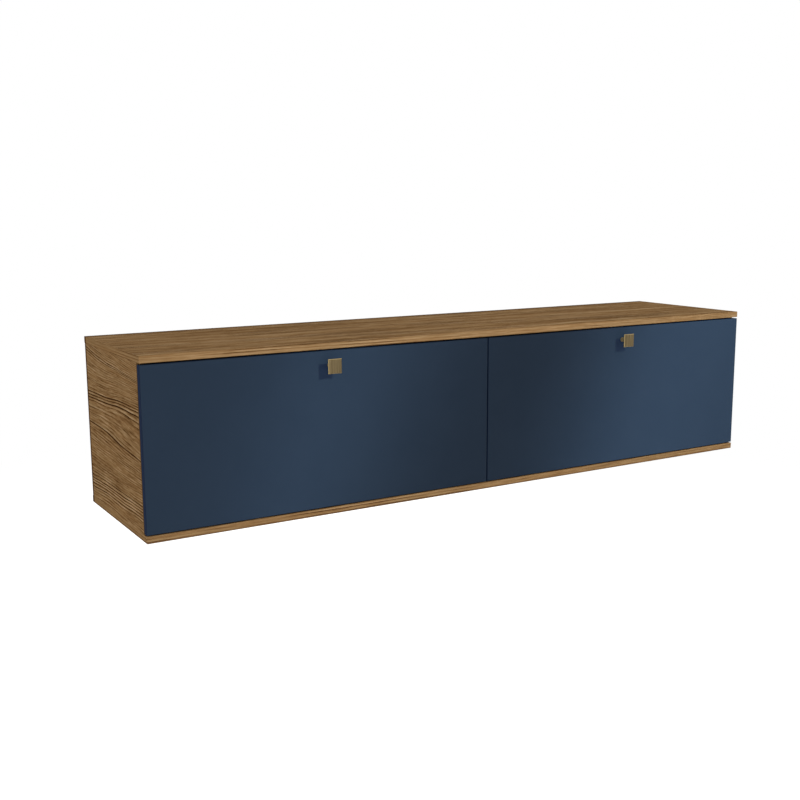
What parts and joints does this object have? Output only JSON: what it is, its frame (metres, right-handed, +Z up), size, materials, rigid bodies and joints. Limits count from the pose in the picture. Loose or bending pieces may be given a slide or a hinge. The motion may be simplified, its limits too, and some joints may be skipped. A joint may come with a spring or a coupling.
{
  "type": "wall-hung cabinet",
  "caption": "Wall-hung low media cabinet in wood veneer with drop-down flap doors, square brass knobs, cup hinges and slotted stays.",
  "frame": {"origin": "on the wall plane, in the middle of the width, at the underside of the bottom panel", "axes": "+X along the cabinet to the right seen from the front, +Y into the wall, +Z up"},
  "size_m": [1.8, 0.4445, 0.412],
  "materials": {
    "walnut_veneer": "satin",
    "navy_lacquer": "satin lacquer",
    "brushed_brass": "brushed",
    "hardboard": "matt",
    "beech": "raw",
    "zinc_plated_steel": "zinc plated",
    "nickel_plated_steel": "nickel plated",
    "catch_plastic": "matt",
    "bumper_rubber": "soft"
  },
  "bodies": {
    "cabinet": {"top_panel": "walnut_veneer", "bottom_panel": "walnut_veneer", "left_side_panel": "walnut_veneer", "right_side_panel": "walnut_veneer", "centre_divider": "walnut_veneer", "back_panel": "hardboard", "left_hanging_rail": "walnut_veneer", "right_hanging_rail": "walnut_veneer", "wood_dowels": "beech", "cam_bolts": "zinc_plated_steel", "cam_locks": "zinc_plated_steel", "back_panel_screws": "zinc_plated_steel", "hinge_plate_screws": "zinc_plated_steel", "left_outer_hinge_arm": "nickel_plated_steel", "left_outer_hinge_plate": "nickel_plated_steel", "left_inner_hinge_arm": "nickel_plated_steel", "left_inner_hinge_plate": "nickel_plated_steel", "right_inner_hinge_arm": "nickel_plated_steel", "right_inner_hinge_plate": "nickel_plated_steel", "right_outer_hinge_arm": "nickel_plated_steel", "right_outer_hinge_plate": "nickel_plated_steel", "left_stay_guides": "nickel_plated_steel", "left_catch": "catch_plastic", "right_stay_guides": "nickel_plated_steel", "right_catch": "catch_plastic", "catch_pole_plates": "zinc_plated_steel", "catch_screws": "zinc_plated_steel"},
    "left_door": {"left_door": "navy_lacquer", "left_knob": "brushed_brass", "left_knob_screw": "zinc_plated_steel", "left_hinge_pins": "zinc_plated_steel", "left_hinge_cup_screws": "zinc_plated_steel", "left_stay_brackets": "nickel_plated_steel", "left_stay_rivets": "zinc_plated_steel", "left_stay_bracket_screws": "zinc_plated_steel", "left_strike_plate": "zinc_plated_steel", "left_strike_screws": "zinc_plated_steel", "left_bumpers": "bumper_rubber", "left_outer_hinge_cup": "nickel_plated_steel", "left_inner_hinge_cup": "nickel_plated_steel"},
    "right_door": {"right_door": "navy_lacquer", "right_knob": "brushed_brass", "right_knob_screw": "zinc_plated_steel", "right_hinge_pins": "zinc_plated_steel", "right_hinge_cup_screws": "zinc_plated_steel", "right_stay_brackets": "nickel_plated_steel", "right_stay_rivets": "zinc_plated_steel", "right_stay_bracket_screws": "zinc_plated_steel", "right_strike_plate": "zinc_plated_steel", "right_strike_screws": "zinc_plated_steel", "right_bumpers": "bumper_rubber", "right_inner_hinge_cup": "nickel_plated_steel", "right_outer_hinge_cup": "nickel_plated_steel"},
    "left_stay_bars": {"left_stay_bars": "nickel_plated_steel"},
    "right_stay_bars": {"right_stay_bars": "nickel_plated_steel"}
  },
  "joints": [
    {"name": "left_door_hinge", "type": "hinge", "parent": "cabinet", "child": "left_door", "pos_m": [-0.45075, -0.4086, 0.0264], "axis": [1, 0, 0], "range_deg": [0, 90]},
    {"name": "left_stay_pivot", "type": "hinge", "parent": "left_door", "child": "left_stay_bars", "pos_m": [-0.45075, -0.388, 0.1184], "axis": [1, 0, 0], "range_deg": [-45, 0]},
    {"name": "right_door_hinge", "type": "hinge", "parent": "cabinet", "child": "right_door", "pos_m": [0.45075, -0.4086, 0.0264], "axis": [1, 0, 0], "range_deg": [0, 90]},
    {"name": "right_stay_pivot", "type": "hinge", "parent": "right_door", "child": "right_stay_bars", "pos_m": [0.45075, -0.388, 0.1184], "axis": [1, 0, 0], "range_deg": [-45, 0]}
  ],
  "couplings": [
    {"joint": "left_stay_pivot", "follows": "left_door_hinge", "ratio": -0.5},
    {"joint": "right_stay_pivot", "follows": "right_door_hinge", "ratio": -0.5}
  ]
}
